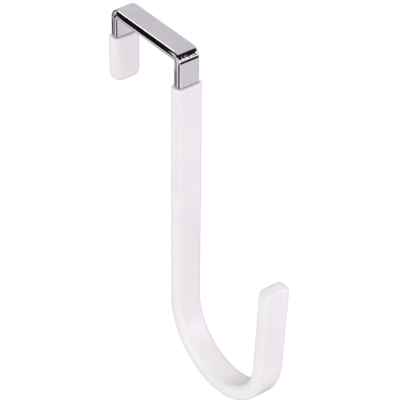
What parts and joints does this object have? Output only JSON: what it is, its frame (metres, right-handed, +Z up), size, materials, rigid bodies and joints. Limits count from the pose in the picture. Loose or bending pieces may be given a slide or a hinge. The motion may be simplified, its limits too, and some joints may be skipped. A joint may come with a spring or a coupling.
{
  "type": "over door hook",
  "caption": "Single J-shaped hook bent from polished flat bar that hangs over the top of a door, with soft white sleeves on its short back leg and along the hook.",
  "frame": {"origin": "middle of the bridge's underside, where the hook rests on the top of the door", "axes": "+Z up, -Y towards the hook, +X across the bar"},
  "size_m": [0.016, 0.1341, 0.1934],
  "materials": {
    "chrome_plate": "polished plating",
    "white_vinyl": "smooth soft dip coat, satin to gloss"
  },
  "bodies": {
    "root": {"steel_strap": "chrome_plate", "back_leg_sleeve": "white_vinyl", "hook_sleeve": "white_vinyl"}
  },
  "joints": []
}
